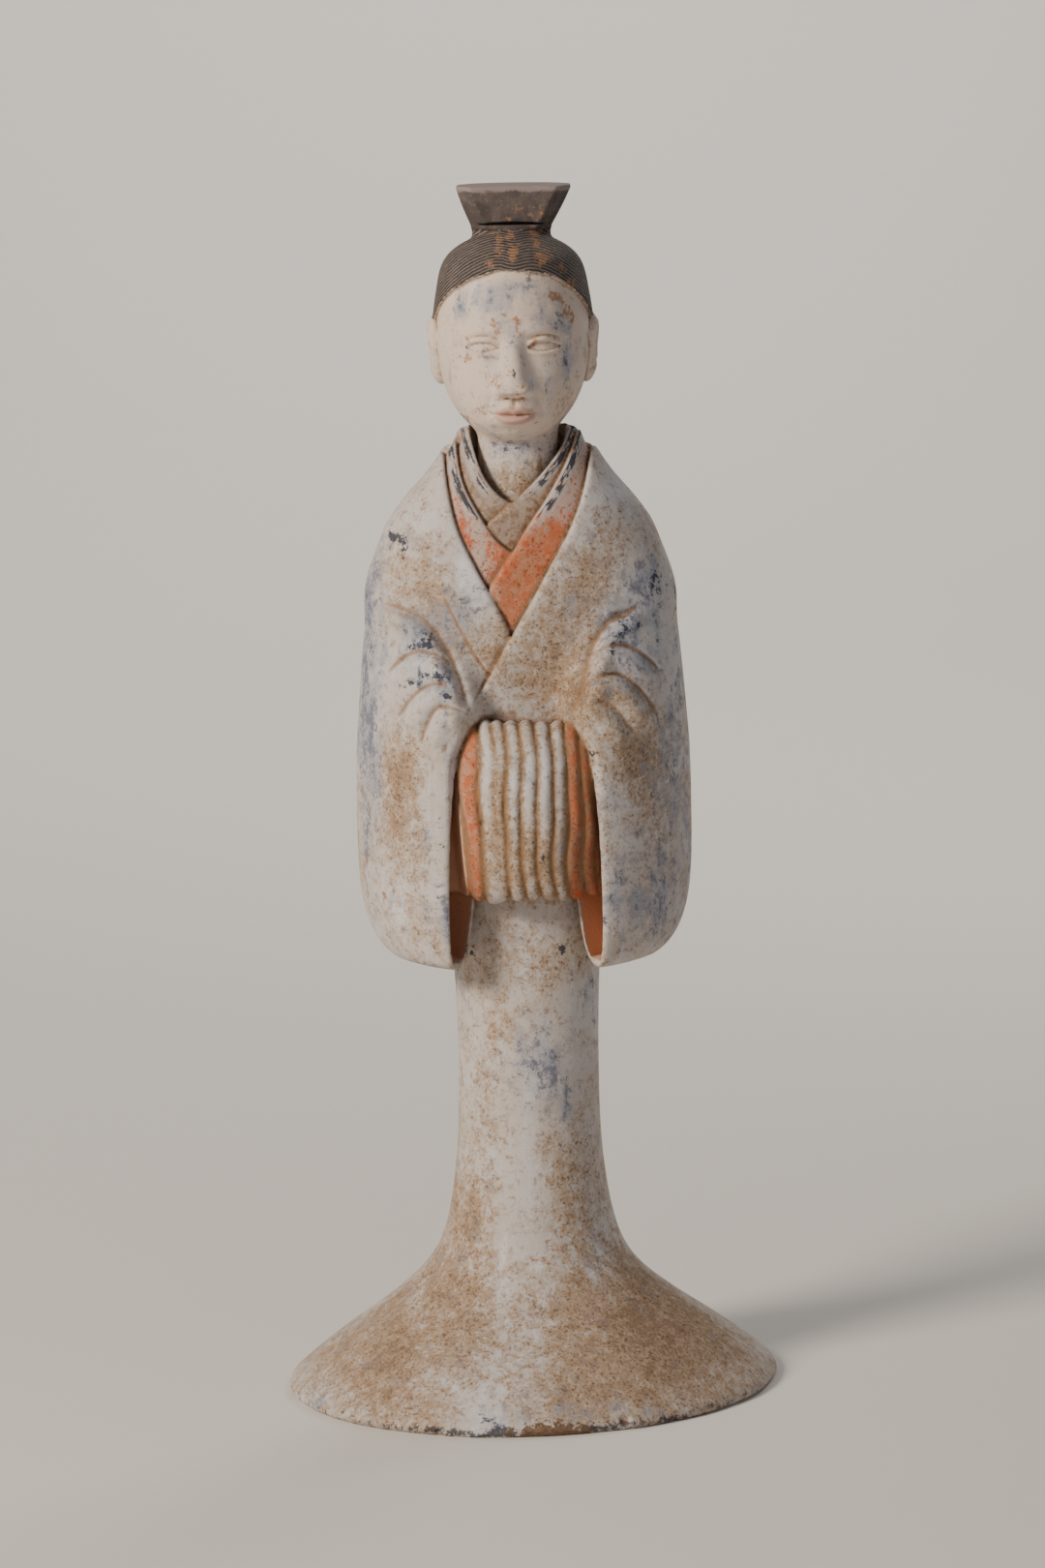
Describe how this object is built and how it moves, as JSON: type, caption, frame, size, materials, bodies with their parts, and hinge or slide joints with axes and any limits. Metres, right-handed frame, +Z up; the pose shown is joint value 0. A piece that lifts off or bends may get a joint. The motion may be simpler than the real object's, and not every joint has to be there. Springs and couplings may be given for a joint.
{
  "type": "standing court lady figure",
  "caption": "Standing terracotta court lady in a robe with a trumpet skirt, hands joined in pleated sleeves, crossed collars, hair drawn up into a flat topknot",
  "frame": {"origin": "middle of the underside of the skirt's hem", "axes": "+Z up through the head, the figure faces -Y, +X is on her left side"},
  "size_m": [0.2294, 0.218, 0.56],
  "materials": {
    "painted_pottery": "matte slip with worn paint"
  },
  "bodies": {
    "root": {"court_lady_figure": "painted_pottery"}
  },
  "joints": []
}
